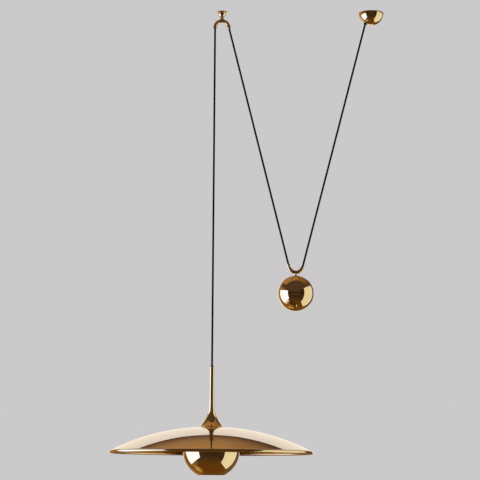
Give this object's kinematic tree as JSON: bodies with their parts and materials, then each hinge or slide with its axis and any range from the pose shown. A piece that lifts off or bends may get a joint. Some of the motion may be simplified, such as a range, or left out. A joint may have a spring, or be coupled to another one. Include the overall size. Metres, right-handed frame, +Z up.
{
  "type": "rise and fall pendant lamp",
  "caption": "Polished brass disc pendant on a black cord that runs over a ceiling hook and round a ball counterweight to a domed ceiling canopy; the lamp slides up and down.",
  "frame": {"origin": "on the ceiling plane, on the axis of the hook's hanger screw", "axes": "+Z up; +X from the hook towards the ceiling canopy; the lamp, cord and counterweight hang in the plane Y = 0"},
  "size_m": [0.744, 0.55, 1.325],
  "materials": {
    "polished_brass": "mirror polished and lacquered",
    "black_textile_cord": "matt braided textile over a rubber core",
    "black_rubber": "smooth moulded rubber",
    "zinc_plated_steel": "bright zinc plating",
    "plain_brass": "machined brass",
    "pale_plastic": "moulded insulating plastic",
    "black_plastic": "moulded phenolic plastic",
    "core_insulation": "wire insulation",
    "opal_glass": "opal white glass",
    "bulb_cap_metal": "rolled aluminium"
  },
  "bodies": {
    "root": {"hook_rosette": "polished_brass", "hook_screw": "zinc_plated_steel", "hook_neck": "polished_brass", "hook_guide": "polished_brass", "cord_in_hook": "black_textile_cord", "canopy_dome": "polished_brass", "canopy_plate": "zinc_plated_steel", "canopy_ceiling_screws": "zinc_plated_steel", "canopy_grub_screws": "zinc_plated_steel", "terminal_block": "pale_plastic", "terminal_sleeves": "plain_brass", "terminal_screws": "plain_brass", "terminal_fixing_screw": "zinc_plated_steel", "cord_clamp": "pale_plastic", "cord_clamp_screws": "zinc_plated_steel", "canopy_grommet": "black_rubber", "cord_in_canopy": "black_textile_cord", "canopy_cores": "core_insulation", "cord_run_lamp": "black_textile_cord", "cord_run_left": "black_textile_cord", "cord_run_right": "black_textile_cord"},
    "counterweight": {"counterweight_guide": "polished_brass", "counterweight_lug": "polished_brass", "counterweight_ball": "polished_brass", "cord_in_counterweight": "black_textile_cord"},
    "lamp": {"shade": "polished_brass", "stem": "polished_brass", "stem_boss": "plain_brass", "stem_bush": "black_rubber", "cord_grip": "black_plastic", "cord_in_stem": "black_textile_cord", "nipple": "zinc_plated_steel", "nipple_nuts": "zinc_plated_steel", "shade_washer": "zinc_plated_steel", "bowl_bracket": "zinc_plated_steel", "bowl": "polished_brass", "bowl_screws": "polished_brass", "holder_cap": "black_plastic", "holder_insert": "pale_plastic", "holder_body": "black_plastic", "holder_thread_shell": "plain_brass", "holder_contact": "plain_brass", "bulb_cap": "bulb_cap_metal", "bulb_glass": "opal_glass"}
  },
  "joints": [
    {"name": "lamp_rise", "type": "slide", "parent": "root", "child": "lamp", "axis": [0, 0, 1], "range_m": [-0.4, 0.22], "deforming": ["cord_run_lamp"]},
    {"name": "counterweight_travel", "type": "slide", "parent": "root", "child": "counterweight", "axis": [0, 0, 1], "range_m": [-0.1135, 0.2064], "deforming": ["cord_run_left", "cord_run_right"]}
  ],
  "couplings": [
    {"joint": "counterweight_travel", "follows": "lamp_rise", "ratio": -0.5158}
  ]
}
